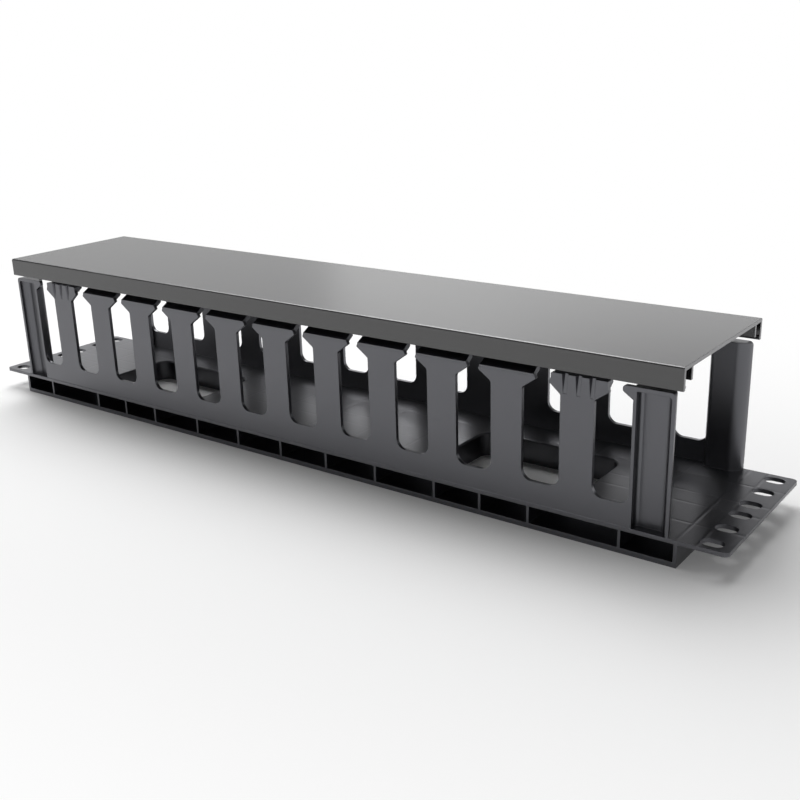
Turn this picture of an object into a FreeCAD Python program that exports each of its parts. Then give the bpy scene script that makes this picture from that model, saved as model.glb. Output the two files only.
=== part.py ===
import FreeCAD, Part
import math
import os

from FreeCAD import Vector

# Horizontal cable manager for a 19-inch rack, two units high.
# It lies on its back: +X runs along the rack's width, +Z points out of the rack
# face towards the cover, and Z = 0 is the rear rim that rests on a table.

# ------------------------------------------------------------------ sizes, mm
# Rack panel with its slotted ears
panel_length = 482.6
panel_width = 88.9
panel_thickness = 1.9
panel_corner_radius = 2.5
hole_column_inset = 8.75
outer_hole_spacing = 76.2
middle_hole_spacing = 44.45
inner_hole_spacing = 12.7
hole_length = 9.8
hole_height = 6.8

# Hollow body behind the panel, narrower than the opening between the rack rails
body_length = 440.0
body_height = 12.55
end_wall = 1.6
side_channel_depth = 18.0
side_channel_wall = 1.8
rear_flange_thickness = 2.4
rib_wall = 1.3
middle_rib_spacing = 31.3
quarter_rib_position = 63.1
outer_rib_position = 194.1
window_rib_position = 124.1
window_rib_spacing = 25.6
spine_position = 6.0
spine_wall = 1.5

# Pass-through windows for cables that leave to the rear
window_position = 125.0
window_length = 78.0
window_width = 44.4
window_corner_radius = 7.0
window_rim_bevel = 0.7
window_wall = 1.8

# Comb walls with T-headed fingers
finger_count = 11
comb_wall = 2.0
comb_setback = 0.25
comb_strip_height = 10.45
finger_width = 15.8
slot_foot_radius = 5.0
end_slot_width = 17.25
neck_gap = 5.5
shoulder_height = 4.7
shoulder_foot_radius = 1.5
head_side_height = 2.3
head_side_draft = 0.9
head_corner_radius = 0.6
head_lip_height = 1.0
head_lip_projection = 0.2

# Set-back tips above the heads, and their hooks
tip_lean = 3.75
tip_lean_height = 2.3
shoulder_thickness = 1.6
tip_end_taper = 0.3
tip_corner_chamfer = 1.5
hook_height = 5.3
hook_rise = 3.2
hook_land = 0.7

# Fluted heads next to the end posts
end_head_trim = 1.0
flute_count = 3
flute_spacing = 6.35
flute_offset = 0.5
flute_height = 8.6
flute_top_width = 3.2
flute_foot_width = 1.9
flute_top_depth = 1.8
flute_foot_depth = 0.2
flute_side_slope = 0.5

# End posts: channels open to the outside, with a thumb tab over the last slot
post_inset = 4.2
post_width = 18.0
post_depth = 6.5
post_web = 2.0
post_slot_flange = 1.4
post_end_flange = 1.6
post_end_radius = 6.3
post_slot_radius = 3.0
post_head_height = 1.9
post_head_radius = 2.0
recess_corner_radius = 1.5
tab_reach = 4.7
tab_nose_height = 2.6
tab_foot_drop = 6.7
tab_tip_radius = 1.3

# Cover that clips over the finger tips
overall_height = 86.6
cover_wall = 1.7
cover_skirt_depth = 10.0
cover_end_inset = 1.3
cover_edge_radius = 1.0
cover_rib_wall = 1.5
cover_rib_depth = 5.5
bead_projection = 0.7
bead_height = 1.6
bead_rim = 0.6

# Clearances between the base and the cover
skirt_gap = 1.4
head_gap = 3.6
tip_seat_gap = 0.3
hook_clearance = 0.4
cover_rib_clearance = 1.45

# ------------------------------------------------------------- derived places
hole_column_spacing = panel_length - 2 * hole_column_inset
half_panel = panel_width / 2
half_body = body_length / 2
panel_rear = body_height - panel_thickness
comb_face = half_panel - comb_setback
comb_back = comb_face - comb_wall
comb_slot_floor = body_height + comb_strip_height
post_outer = half_body - post_inset
post_inner = post_outer - post_width
finger_pitch = (2 * (post_inner - end_slot_width) - finger_width) / (finger_count - 1)
head_half_width = (finger_pitch - neck_gap) / 2
cover_rim = overall_height - cover_skirt_depth
cover_underside = overall_height - cover_wall
face_top = cover_rim - skirt_gap
head_top = cover_rim - head_gap
head_corner = head_top - head_side_height
shoulder_foot = head_corner - shoulder_height
tip_face = comb_face - tip_lean
tip_back = tip_face - comb_wall
tip_top = cover_underside - tip_seat_gap
skirt_inside = half_panel - cover_wall


# --------------------------------------------------------------------- helpers
def block(x_low, x_high, y_low, y_high, z_low, z_high):
    """Plain box between two corners."""
    corner = Vector(x_low, y_low, z_low)
    return Part.makeBox(x_high - x_low, y_high - y_low, z_high - z_low, corner)


def outline(corners):
    """Face inside a closed line; each corner is (point, radius).

    A side between two rounded corners is shared by halves between them.
    """
    edges = []
    ends = []
    count = len(corners)
    for index, (point, radius) in enumerate(corners):
        neighbour_before, radius_before = corners[index - 1]
        neighbour_after, radius_after = corners[(index + 1) % count]
        before = neighbour_before - point
        after = neighbour_after - point
        half_angle = before.getAngle(after) / 2
        room_before = before.Length / (2 if radius_before > 0 else 1)
        room_after = after.Length / (2 if radius_after > 0 else 1)
        room = min(room_before, room_after)
        reach = min(radius / math.tan(half_angle), room)
        before.normalize()
        after.normalize()
        start = point + before * reach
        finish = point + after * reach
        if radius > 0:
            bisector = before + after
            bisector.normalize()
            to_arc = reach / math.cos(half_angle) - reach * math.tan(half_angle)
            edges.append(Part.Arc(start, point + bisector * to_arc, finish).toShape())
        ends.append((start, finish))
    for index, (start, finish) in enumerate(ends):
        previous = ends[index - 1][1]
        if previous.distanceToPoint(start) > 1e-6:
            edges.append(Part.makeLine(previous, start))
    return Part.Face(Part.Wire(Part.__sortEdges__(edges)))


def front_plate(corners, y_face, y_back):
    """Outline drawn on the front view (X, Z) and given a thickness in Y."""
    flat = outline([(Vector(x, y_face, z), radius) for x, z, radius in corners])
    return flat.extrude(Vector(0, y_back - y_face, 0))


def end_profile(corners, x_low, x_high):
    """Cross-section drawn on the end view (Y, Z) and run along X."""
    flat = outline([(Vector(x_low, y, z), radius) for y, z, radius in corners])
    return flat.extrude(Vector(x_high - x_low, 0, 0))


def plan_plate(corners, z_low, z_high):
    """Outline drawn on the plan view (X, Y) and given a height in Z."""
    flat = outline([(Vector(x, y, z_low), radius) for x, y, radius in corners])
    return flat.extrude(Vector(0, 0, z_high - z_low))


def rounded_rectangle(x_middle, y_middle, x_size, y_size, radius):
    """Corners of a rectangle for plan_plate."""
    x_half = x_size / 2
    y_half = y_size / 2
    signs = [(-1, -1), (1, -1), (1, 1), (-1, 1)]
    return [(x_middle + a * x_half, y_middle + b * y_half, radius) for a, b in signs]


def mirrored_x(shape):
    return shape.mirror(Vector(0, 0, 0), Vector(1, 0, 0))


def mirrored_y(shape):
    return shape.mirror(Vector(0, 0, 0), Vector(0, 1, 0))


# ----------------------------------------------------------------- rack panel
# One flat moulding carries everything: its two ends are the slotted ears.
panel_outline = rounded_rectangle(0, 0, panel_length, panel_width, panel_corner_radius)
panel = plan_plate(panel_outline, panel_rear, body_height)

rack_slots = []
for spacing in (outer_hole_spacing, middle_hole_spacing, inner_hole_spacing):
    for x_side in (-1, 1):
        for y_side in (-1, 1):
            slot = rounded_rectangle(
                x_side * hole_column_spacing / 2,
                y_side * spacing / 2,
                hole_length,
                hole_height,
                hole_height / 2,
            )
            rack_slots.append(plan_plate(slot, 0, body_height + panel_thickness))

# ------------------------------------------------------- hollow body, open rear
# Each long side is a channel between the panel's edge and a rear flange; the
# ribs cross the channels and stiffen the open back.
channel_web = half_panel - side_channel_depth
web_inside = channel_web - side_channel_wall
body_parts = []
for side in (-1, 1):
    webs = sorted((side * channel_web, side * web_inside))
    flange = sorted((side * half_panel, side * web_inside))
    spine = side * spine_position
    body_parts.append(block(-half_body, half_body, webs[0], webs[1], 0, body_height))
    body_parts.append(
        block(-half_body, half_body, flange[0], flange[1], 0, rear_flange_thickness)
    )
    body_parts.append(
        block(
            -half_body,
            half_body,
            spine - spine_wall / 2,
            spine + spine_wall / 2,
            0,
            body_height,
        )
    )
    wall = sorted((side * half_body, side * (half_body - end_wall)))
    body_parts.append(block(wall[0], wall[1], -half_panel, half_panel, 0, body_height))

rib_positions = [0, outer_rib_position, quarter_rib_position, middle_rib_spacing]
rib_positions += [window_rib_position + step * window_rib_spacing for step in (-1, 0, 1)]
for position in rib_positions:
    for x_rib in sorted({position, -position}):
        low = x_rib - rib_wall / 2
        high = x_rib + rib_wall / 2
        body_parts.append(block(low, high, -half_panel, half_panel, 0, body_height))

windows = []
for side in (-1, 1):
    x_window = side * window_position
    tunnel = rounded_rectangle(
        x_window,
        0,
        window_length + 2 * window_wall,
        window_width + 2 * window_wall,
        window_corner_radius + window_wall,
    )
    body_parts.append(plan_plate(tunnel, 0, body_height))
    opening = rounded_rectangle(
        x_window, 0, window_length, window_width, window_corner_radius
    )
    windows.append(plan_plate(opening, -panel_thickness, body_height + panel_thickness))

# ------------------------------------------------------------------ comb wall
# The wall is cut by a row of slots. Each slot widens into a cable gap below the
# heads and closes to a narrow neck between them.
finger_places = [
    (index - (finger_count - 1) / 2) * finger_pitch for index in range(finger_count)
]


def head_widths(index):
    """Half widths of a finger's head to its left and right."""
    left = head_half_width
    right = head_half_width
    if index == 0:
        right -= end_head_trim
    if index == finger_count - 1:
        left -= end_head_trim
    return left, right


def flank(index, side):
    """Finger edge from the slot floor to above the head; side is -1 or 1."""
    x_middle = finger_places[index]
    half_head = head_widths(index)[(side + 1) // 2]
    x_stem = x_middle + side * finger_width / 2
    x_head = x_middle + side * half_head
    x_top = x_middle + side * (half_head - head_side_draft)
    return [
        (x_stem, comb_slot_floor, slot_foot_radius),
        (x_stem, shoulder_foot, shoulder_foot_radius),
        (x_head, head_corner, head_corner_radius),
        (x_top, head_top, 0),
        (x_top, overall_height, 0),
    ]


comb = block(-post_inner, post_inner, -comb_face, -comb_back, panel_rear, head_top)
first_gap = [
    (-post_inner, overall_height, 0),
    (-post_inner, comb_slot_floor, slot_foot_radius),
]
last_gap = [
    (post_inner, comb_slot_floor, slot_foot_radius),
    (post_inner, overall_height, 0),
]
gaps = [first_gap + flank(0, -1)]
for index in range(finger_count - 1):
    gaps.append(list(reversed(flank(index, 1))) + flank(index + 1, -1))
gaps.append(list(reversed(flank(finger_count - 1, 1))) + last_gap)
comb = comb.cut([front_plate(gap, -half_panel, -tip_back) for gap in gaps])

# ---------------------------------------------------------------- finger tips
# Above its head each finger slopes inwards and then runs up inside the cover, where
# a hook on its outer side sits over the bead of the cover's skirt.
slope_foot = head_top - shoulder_thickness
slope_top = head_top + tip_lean_height
hook_face = skirt_inside - bead_projection - hook_clearance
hook_foot = slope_top + hook_height
tip_section = [
    (-comb_face, slope_foot, 0),
    (-comb_face, head_top, 0),
    (-tip_face, slope_top, 0),
    (-tip_face, hook_foot, 0),
    (-hook_face, hook_foot, 0),
    (-hook_face, hook_foot + hook_land, 0),
    (-tip_face, hook_foot + hook_land + hook_rise, 0),
    (-tip_face, tip_top, 0),
    (-tip_back, tip_top, 0),
    (-tip_back, slope_top - shoulder_thickness, 0),
    (-comb_back, slope_foot, 0),
]
finger_tops = []
for index, x_middle in enumerate(finger_places):
    left, right = head_widths(index)
    x_left = x_middle - left + head_side_draft
    x_right = x_middle + right - head_side_draft
    section = end_profile(tip_section, x_left, x_right)
    front = front_plate(
        [
            (x_left, slope_foot, 0),
            (x_left, head_top, 0),
            (x_left + tip_end_taper, slope_top, 0),
            (x_left + tip_end_taper, tip_top - tip_corner_chamfer, 0),
            (x_left + tip_end_taper + tip_corner_chamfer, tip_top, 0),
            (x_right - tip_end_taper - tip_corner_chamfer, tip_top, 0),
            (x_right - tip_end_taper, tip_top - tip_corner_chamfer, 0),
            (x_right - tip_end_taper, slope_top, 0),
            (x_right, head_top, 0),
            (x_right, slope_foot, 0),
        ],
        -half_panel,
        -tip_back + comb_wall,
    )
    finger_tops.append(section.common(front))
    if index not in (0, finger_count - 1):
        lip_low = head_top - head_lip_height
        lip_face = -comb_face - head_lip_projection
        finger_tops.append(
            block(x_left, x_right, lip_face, -comb_back, lip_low, head_top)
        )

# The two end heads are filled out to the face as thumb pads, up to just under
# the skirt, and carry tapered flutes that run out into the face below.
def flute_section(x_middle, width, depth, z):
    """Level section of a flute, reaching out through the face of the pad."""
    half_floor = width / 2 - depth * flute_side_slope
    half_mouth = width / 2 + comb_setback * flute_side_slope
    y_mouth = -comb_face - comb_setback
    y_floor = -comb_face + depth
    corners = [
        Vector(x_middle - half_mouth, y_mouth, z),
        Vector(x_middle + half_mouth, y_mouth, z),
        Vector(x_middle + half_floor, y_floor, z),
        Vector(x_middle - half_floor, y_floor, z),
    ]
    return Part.makePolygon(corners + corners[:1])


flutes = []
for index in (0, finger_count - 1):
    left, right = head_widths(index)
    x_middle = finger_places[index]
    x_left = x_middle - left + head_side_draft
    x_right = x_middle + right - head_side_draft
    pad_corners = [
        (x_left, head_top - head_lip_height, 0),
        (x_right, head_top - head_lip_height, 0),
        (x_right, face_top, head_corner_radius),
        (x_left, face_top, head_corner_radius),
    ]
    finger_tops.append(front_plate(pad_corners, -comb_face, -tip_face))
    outwards = math.copysign(1, x_middle)
    for step in range(flute_count):
        x_flute = x_middle + outwards * flute_offset
        x_flute += (step - (flute_count - 1) / 2) * flute_spacing
        flute = Part.makeLoft(
            [
                flute_section(x_flute, flute_foot_width, flute_foot_depth, face_top - flute_height),
                flute_section(x_flute, flute_top_width, flute_top_depth, face_top),
            ],
            True,
            True,
        )
        flutes.append(flute)

# ------------------------------------------------------------------ end posts
# A post is a channel section with soft duct-side corners. Its recess opens
# outwards and is closed on top by the head that carries the tab.
post_back = comb_face - post_depth
post_section = [
    (post_inner, -comb_face, 0),
    (post_inner, -post_back, post_slot_radius),
    (post_outer, -post_back, post_end_radius),
    (post_outer, -comb_face, 0),
]
post = plan_plate(post_section, panel_rear, face_top)
recess_left = post_inner + post_slot_flange
recess_right = post_outer - post_end_flange
recess_top = face_top - post_head_height
recess_section = [
    (recess_left, -half_panel, 0),
    (recess_left, -post_back - post_web, post_slot_radius - post_slot_flange),
    (recess_right, -post_back - post_web, post_end_radius - post_web),
    (recess_right, -half_panel, 0),
]
recess = plan_plate(recess_section, body_height, recess_top)
recess_front = [
    (recess_left, body_height, 0),
    (recess_right, body_height, 0),
    (recess_right, recess_top, recess_corner_radius),
    (recess_left, recess_top, 0),
]
recess = recess.common(front_plate(recess_front, -half_panel, -post_back))
post_front = [
    (post_inner, panel_rear, 0),
    (post_outer, panel_rear, 0),
    (post_outer, face_top, post_head_radius),
    (post_inner, face_top, 0),
]
post = post.common(front_plate(post_front, -comb_face, -post_back)).cut(recess)
tab_corners = [
    (post_inner + post_slot_flange, face_top, 0),
    (post_inner - tab_reach, face_top, tab_tip_radius),
    (post_inner - tab_reach, face_top - tab_nose_height, tab_tip_radius),
    (post_inner + post_slot_flange, face_top - tab_foot_drop, 0),
]
tab = front_plate(tab_corners, -comb_face, -comb_face + comb_wall)
posts = post.fuse(tab)
posts = posts.fuse(mirrored_x(posts))

# ---------------------------------------------------------------- one moulding
front_wall = comb.fuse(finger_tops).cut(flutes).fuse(posts)
duct_base = panel.fuse(body_parts + [front_wall, mirrored_y(front_wall)])
duct_base = duct_base.cut(rack_slots + windows).removeSplitter()

# The front edge of each window is bevelled so that it doesn't chafe the cables.
rim_edges = []
for edge in duct_base.Edges:
    bounds = edge.BoundBox
    on_face = abs(bounds.ZMin - body_height) + abs(bounds.ZMax - body_height) < 0.001
    off_centre = abs(bounds.XMin + bounds.XMax) / 2 - window_position
    in_length = abs(off_centre) < window_length / 2 + 0.001
    in_width = max(abs(bounds.YMin), abs(bounds.YMax)) < window_width / 2 + 0.001
    if on_face and in_length and in_width:
        rim_edges.append(edge)
duct_base = duct_base.makeChamfer(window_rim_bevel, rim_edges)
duct_base.exportStep("parts/duct_base.step")

# ---------------------------------------------------------------- clipped cover
# One open-ended section: a flat top, two skirts with a bead inside the rim, and
# two ribs that keep the tips against the skirts.
cover_rib_outside = tip_back - cover_rib_clearance
cover_rib_inside = cover_rib_outside - cover_rib_wall
cover_rib_foot = cover_underside - cover_rib_depth
bead_middle = cover_rim + bead_rim + bead_height / 2
half_section = [
    (half_panel, overall_height, cover_edge_radius),
    (half_panel, cover_rim, 0),
    (skirt_inside, cover_rim, 0),
    (skirt_inside, bead_middle - bead_height / 2, 0),
    (skirt_inside - bead_projection, bead_middle, bead_height / 3),
    (skirt_inside, bead_middle + bead_height / 2, 0),
    (skirt_inside, cover_underside, 0),
    (cover_rib_outside, cover_underside, 0),
    (cover_rib_outside, cover_rib_foot, 0),
    (cover_rib_inside, cover_rib_foot, 0),
    (cover_rib_inside, cover_underside, 0),
]
other_half = [(-y, z, radius) for y, z, radius in reversed(half_section)]
half_cover = half_body - cover_end_inset
duct_cover = end_profile(half_section + other_half, -half_cover, half_cover)
duct_cover.exportStep("parts/duct_cover.step")
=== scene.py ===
import math

import bmesh
import bpy
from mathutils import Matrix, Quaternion, Vector


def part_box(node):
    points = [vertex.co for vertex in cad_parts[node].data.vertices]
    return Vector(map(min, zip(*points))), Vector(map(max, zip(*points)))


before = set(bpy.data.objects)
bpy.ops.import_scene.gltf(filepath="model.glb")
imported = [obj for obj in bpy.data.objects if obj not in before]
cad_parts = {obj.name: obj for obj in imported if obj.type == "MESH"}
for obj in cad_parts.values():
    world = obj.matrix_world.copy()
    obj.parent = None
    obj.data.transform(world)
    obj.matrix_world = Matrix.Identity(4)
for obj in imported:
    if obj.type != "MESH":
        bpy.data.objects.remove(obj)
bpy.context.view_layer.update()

# ---- Camera -----------------------------------------------------------------
# The manager is seen from its front right, a little above its cover, with the
# right end nearest. The lens is a short telephoto close to the object.
camera_place = Vector((0.3676, -0.4250, 0.2116))
camera_target = Vector((0.0039, 0.0564, 0.0049))
camera_roll = math.radians(-1.70)

camera_data = bpy.data.cameras.new("camera")
camera_data.sensor_width = 36.0
camera_data.lens = 47.985
camera_data.clip_start = 0.01
camera = bpy.data.objects.new("camera", camera_data)
bpy.context.scene.collection.objects.link(camera)
camera.location = camera_place
camera.rotation_mode = "QUATERNION"
aim = (camera_target - camera_place).to_track_quat("-Z", "Y")
camera.rotation_quaternion = aim @ Quaternion((0.0, 0.0, 1.0), camera_roll)
bpy.context.scene.camera = camera
bpy.context.scene.view_settings.view_transform = "Standard"


# ---- Material tools used by the first piece ----------------------------------
def linear(hex_colour):
    """sRGB hex to linear red, green, blue and a full alpha."""
    parts = [int(hex_colour[i : i + 2], 16) / 255 for i in (1, 3, 5)]
    levels = [p / 12.92 if p <= 0.04045 else ((p + 0.055) / 1.055) ** 2.4 for p in parts]
    return (*levels, 1.0)


def node(tree, kind, links=(), **settings):
    """One node: settings by name, and links as (input, source node, output)."""
    made = tree.nodes.new(kind)
    for name, value in settings.items():
        if name in made.inputs:
            made.inputs[name].default_value = value
        else:
            setattr(made, name, value)
    for target, source, output in links:
        tree.links.new(source.outputs[output], made.inputs[target])
    return made


def stops(ramp, first, last):
    """Place and colour of a ramp's two stops."""
    for stop, (position, colour) in zip(ramp.color_ramp.elements, (first, last)):
        stop.position = position
        stop.color = colour


def new_material(name):
    """A material with an empty node tree."""
    material = bpy.data.materials.new(name)
    material.use_nodes = True
    material.node_tree.nodes.clear()
    return material, material.node_tree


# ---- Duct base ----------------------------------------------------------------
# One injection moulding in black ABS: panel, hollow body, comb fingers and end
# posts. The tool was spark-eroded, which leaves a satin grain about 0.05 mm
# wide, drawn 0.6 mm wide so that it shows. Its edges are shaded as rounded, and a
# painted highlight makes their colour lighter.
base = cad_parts["duct_base"]

base_material, tree = new_material("injection moulded black ABS")
place = node(tree, "ShaderNodeTexCoord")
cloud = node(
    tree,
    "ShaderNodeTexNoise",
    [("Vector", place, "Object")],
    Scale=22.0,
    Detail=3.0,
    Roughness=0.55,
)
grain = node(
    tree,
    "ShaderNodeTexNoise",
    [("Vector", place, "Object")],
    Scale=1600.0,
    Detail=2.0,
    Roughness=0.5,
)
tint = node(tree, "ShaderNodeValToRGB", [("Fac", cloud, "Fac")])
stops(tint, (0.3, linear("#121215")), (0.7, linear("#17171a")))
rounded = node(tree, "ShaderNodeBevel", samples=6, Radius=0.00035)
flat = node(tree, "ShaderNodeNewGeometry")
turn = node(
    tree,
    "ShaderNodeVectorMath",
    [(0, rounded, "Normal"), (1, flat, "True Normal")],
    operation="DOT_PRODUCT",
)
# Painted highlight: the colour turns lighter along every edge, where the rounded normal
# leans away from the flat face.
edge = node(tree, "ShaderNodeValToRGB", [("Fac", turn, "Value")])
stops(edge, (0.75, linear("#ffffff")), (0.985, linear("#000000")))
edge_highlight = node(
    tree,
    "ShaderNodeMix",
    [("Factor", edge, "Color"), (6, tint, "Color")],
    data_type="RGBA",
)
edge_highlight.inputs[7].default_value = linear("#3a3a3f")
sheen = node(
    tree,
    "ShaderNodeMapRange",
    [("Value", cloud, "Fac")],
    **{"From Min": 0.3, "From Max": 0.7, "To Min": 0.29, "To Max": 0.33},
)

# Where a rib, a wall or a spine stands behind the panel the plastic sank a
# little as it cooled, which leaves a faint line on the front. The last line
# across is a joint in the tool.
rib_lines = (0.0, 0.0313, 0.0631, 0.0985, 0.1241, 0.1497, 0.1941, 0.2192, 0.228)
spine_lines = (0.006, 0.0255)
sink_half_width = 0.0013
sink_depth = 0.00005
panel_front = 0.0128
spot = node(tree, "ShaderNodeSeparateXYZ", [("Vector", place, "Object")])
nearest = node(tree, "ShaderNodeValue")
nearest.outputs[0].default_value = 1.0
for axis, lines in (("X", rib_lines), ("Y", spine_lines)):
    side = node(tree, "ShaderNodeMath", [(0, spot, axis)], operation="ABSOLUTE")
    for line in lines:
        offset = node(tree, "ShaderNodeMath", [(0, side, "Value")], operation="SUBTRACT")
        offset.inputs[1].default_value = line
        gap = node(tree, "ShaderNodeMath", [(0, offset, "Value")], operation="ABSOLUTE")
        nearest = node(
            tree,
            "ShaderNodeMath",
            [(0, nearest, "Value"), (1, gap, "Value")],
            operation="MINIMUM",
        )
sunk = node(
    tree,
    "ShaderNodeMapRange",
    [("Value", nearest, "Value")],
    interpolation_type="SMOOTHSTEP",
    **{"From Max": sink_half_width, "To Min": 1.0, "To Max": 0.0},
)
facing = node(tree, "ShaderNodeSeparateXYZ", [("Vector", flat, "True Normal")])
level = node(tree, "ShaderNodeMath", [(0, facing, "Z")], operation="GREATER_THAN")
level.inputs[1].default_value = 0.9
low = node(tree, "ShaderNodeMath", [(0, spot, "Z")], operation="LESS_THAN")
low.inputs[1].default_value = panel_front
panel_face = node(
    tree,
    "ShaderNodeMath",
    [(0, level, "Value"), (1, low, "Value")],
    operation="MULTIPLY",
)
dip = node(
    tree,
    "ShaderNodeMath",
    [(0, sunk, "Result"), (1, panel_face, "Value")],
    operation="MULTIPLY",
)
sink = node(
    tree,
    "ShaderNodeBump",
    [("Height", dip, "Value"), ("Normal", rounded, "Normal")],
    invert=True,
    Strength=1.0,
    Distance=sink_depth,
)
relief = node(
    tree,
    "ShaderNodeBump",
    [("Height", grain, "Fac"), ("Normal", sink, "Normal")],
    Strength=0.12,
    Distance=0.0002,
)
shader = node(
    tree,
    "ShaderNodeBsdfPrincipled",
    [
        ("Base Color", edge_highlight, 2),
        ("Roughness", sheen, "Result"),
        ("Normal", relief, "Normal"),
    ],
    IOR=1.7,
    **{"Specular IOR Level": 1.0, "Specular Tint": linear("#f6f7ff")},
)
node(tree, "ShaderNodeOutputMaterial", [("Surface", shader, "BSDF")])
for slot in base.material_slots:
    slot.material = base_material

# ---- Duct cover ---------------------------------------------------------------
# An extruded strip of black PVC, cut to length. Faint die lines run along it,
# about 0.1 mm wide and drawn 2.4 mm wide. Its sawn ends are rough and paler.
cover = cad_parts["duct_cover"]

cover_material, tree = new_material("extruded black PVC")
place = node(tree, "ShaderNodeTexCoord")
drawn = node(
    tree,
    "ShaderNodeMapping",
    [("Vector", place, "Object")],
    Scale=(0.02, 1.0, 1.0),
)
lines = node(
    tree,
    "ShaderNodeTexNoise",
    [("Vector", drawn, "Vector")],
    Scale=420.0,
    Detail=4.0,
    Roughness=0.6,
)
cloud = node(
    tree,
    "ShaderNodeTexNoise",
    [("Vector", place, "Object")],
    Scale=16.0,
    Detail=3.0,
    Roughness=0.5,
)
tint = node(tree, "ShaderNodeValToRGB", [("Fac", cloud, "Fac")])
stops(tint, (0.3, linear("#141416")), (0.7, linear("#19191b")))
saw_depth = 0.00005
along = node(tree, "ShaderNodeSeparateXYZ", [("Vector", place, "Object")])
reach = node(tree, "ShaderNodeMath", [(0, along, "X")], operation="ABSOLUTE")
sawn = node(tree, "ShaderNodeMath", [(0, reach, "Value")], operation="GREATER_THAN")
sawn.inputs[1].default_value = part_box("duct_cover")[1][0] - saw_depth
colour = node(
    tree,
    "ShaderNodeMix",
    [("Factor", sawn, "Value"), (6, tint, "Color")],
    data_type="RGBA",
)
colour.inputs[7].default_value = linear("#77777a")
gloss = node(
    tree,
    "ShaderNodeMapRange",
    [("Value", lines, "Fac")],
    **{"From Min": 0.3, "From Max": 0.7, "To Min": 0.265, "To Max": 0.272},
)
rounded = node(tree, "ShaderNodeBevel", samples=6, Radius=0.0003)
relief = node(
    tree,
    "ShaderNodeBump",
    [("Height", lines, "Fac"), ("Normal", rounded, "Normal")],
    Strength=0.003,
    Distance=0.0002,
)
shader = node(
    tree,
    "ShaderNodeBsdfPrincipled",
    [
        ("Base Color", colour, 2),
        ("Roughness", gloss, "Result"),
        ("Normal", relief, "Normal"),
    ],
    IOR=1.55,
    **{"Specular IOR Level": 1.0},
)
node(tree, "ShaderNodeOutputMaterial", [("Surface", shader, "BSDF")])
for slot in cover.material_slots:
    slot.material = cover_material

# ---- Floor and backdrop ---------------------------------------------------------
# White paper on the table, and round it a graduated backdrop, white at the foot
# and grey higher up, so level faces mirror white and steeper ones grey.
floor_reach = 6.0
backdrop_radius = 4.0
backdrop_height = 2.6

floor_mesh = bpy.data.meshes.new("floor")
build = bmesh.new()
bmesh.ops.create_grid(build, x_segments=1, y_segments=1, size=floor_reach)
build.to_mesh(floor_mesh)
build.free()
floor = bpy.data.objects.new("floor", floor_mesh)
bpy.context.scene.collection.objects.link(floor)

wall_mesh = bpy.data.meshes.new("backdrop")
build = bmesh.new()
bmesh.ops.create_circle(build, segments=96, radius=backdrop_radius)
rim = bmesh.ops.extrude_edge_only(build, edges=build.edges[:])["geom"]
bmesh.ops.translate(
    build,
    verts=[part for part in rim if isinstance(part, bmesh.types.BMVert)],
    vec=(0.0, 0.0, backdrop_height),
)
build.to_mesh(wall_mesh)
build.free()
wall = bpy.data.objects.new("backdrop", wall_mesh)
bpy.context.scene.collection.objects.link(wall)


def seen_rays(tree):
    """One where a camera, glossy or transmission ray meets the material, else zero."""
    path = node(tree, "ShaderNodeLightPath")
    seen = node(
        tree,
        "ShaderNodeMath",
        [(0, path, "Is Camera Ray"), (1, path, "Is Glossy Ray")],
        operation="MAXIMUM",
    )
    return node(
        tree,
        "ShaderNodeMath",
        [(0, seen, "Value"), (1, path, "Is Transmission Ray")],
        operation="MAXIMUM",
    )


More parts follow.
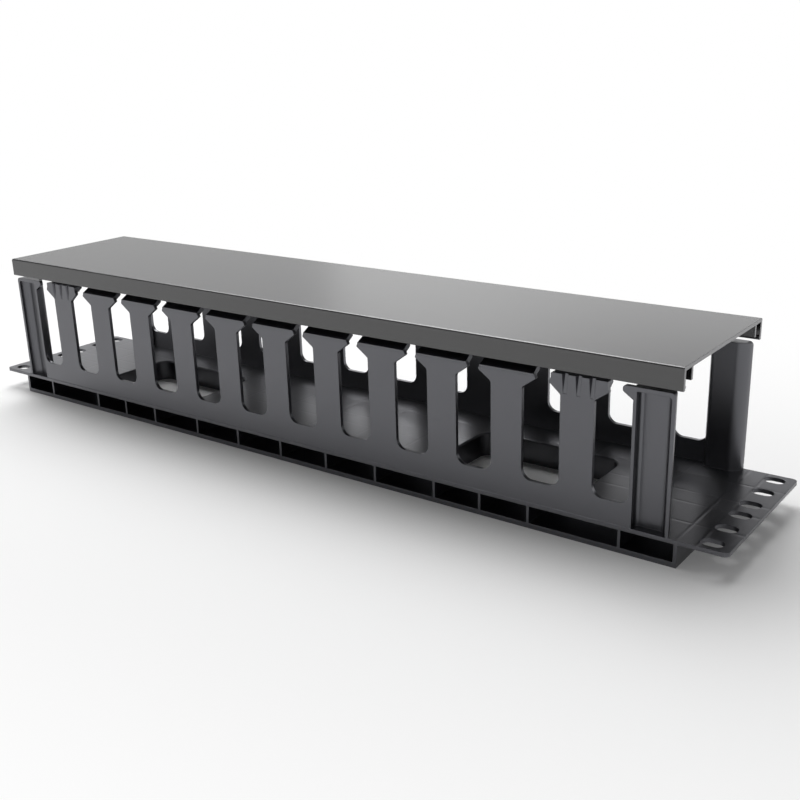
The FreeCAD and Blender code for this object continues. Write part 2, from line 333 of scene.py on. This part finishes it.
paper, tree = new_material("white paper")
seen = seen_rays(tree)
place = node(tree, "ShaderNodeTexCoord")
oval = node(
    tree,
    "ShaderNodeMapping",
    [("Vector", place, "Object")],
    Scale=(0.5, 1.0, 1.0),
)
away = node(tree, "ShaderNodeVectorMath", [(0, oval, "Vector")], operation="LENGTH")
far = node(
    tree,
    "ShaderNodeMapRange",
    [("Value", away, "Value")],
    interpolation_type="SMOOTHSTEP",
    **{"From Min": 0.06, "From Max": 0.35},
)
share = node(
    tree,
    "ShaderNodeMath",
    [(0, seen, "Value"), (1, far, "Result")],
    operation="MULTIPLY",
)
matt = node(tree, "ShaderNodeBsdfDiffuse", Color=linear("#f5f5f5"))
white = node(tree, "ShaderNodeEmission", Color=linear("#ffffff"), Strength=1.0)
shown = node(
    tree,
    "ShaderNodeMixShader",
    [("Fac", share, "Value"), (1, matt, "BSDF"), (2, white, "Emission")],
)
node(tree, "ShaderNodeOutputMaterial", [("Surface", shown, "Shader")])
floor_mesh.materials.append(paper)

screen, tree = new_material("graduated backdrop")
seen = seen_rays(tree)
place = node(tree, "ShaderNodeTexCoord")
height = node(tree, "ShaderNodeSeparateXYZ", [("Vector", place, "Object")])
share = node(tree, "ShaderNodeMath", [(0, height, "Z")], operation="DIVIDE")
share.inputs[1].default_value = backdrop_height
fade = node(tree, "ShaderNodeValToRGB", [("Fac", share, "Value")])
stops(fade, (0.43, linear("#ffffff")), (0.57, linear("#6c6c6e")))
matt = node(tree, "ShaderNodeBsdfDiffuse", [("Color", fade, "Color")])
glow = node(tree, "ShaderNodeEmission", [("Color", fade, "Color")], Strength=1.0)
shown = node(
    tree,
    "ShaderNodeMixShader",
    [("Fac", seen, "Value"), (1, matt, "BSDF"), (2, glow, "Emission")],
)
node(tree, "ShaderNodeOutputMaterial", [("Surface", shown, "Shader")])
wall_mesh.materials.append(screen)

# ---- Light ------------------------------------------------------------------------
# A large softbox hangs over the object and lights it at a plain level. A low
# strip light far behind only puts a sheen along the cover.


def area_lamp(name, place, width, depth, energy):
    """A rectangular lamp that faces the object."""
    data = bpy.data.lights.new(name, "AREA")
    data.shape = "RECTANGLE"
    data.size = width
    data.size_y = depth
    data.energy = energy
    lamp = bpy.data.objects.new(name, data)
    bpy.context.scene.collection.objects.link(lamp)
    lamp.location = place
    lamp.rotation_mode = "QUATERNION"
    lamp.rotation_quaternion = (-lamp.location).to_track_quat("-Z", "Y")


area_lamp("overhead softbox", (-0.7, 0.55, 1.45), 1.4, 1.6, 38.0)
area_lamp("rear strip light", (-1.04, 2.8, 0.87), 2.2, 0.46, 2.95)

world = bpy.data.worlds.new("dim room")
bpy.context.scene.world = world
world.use_nodes = True
tree = world.node_tree
tree.nodes.clear()
dim = node(tree, "ShaderNodeBackground", Color=linear("#ffffff"), Strength=0.15)
node(tree, "ShaderNodeOutputWorld", [("Surface", dim, "Background")])
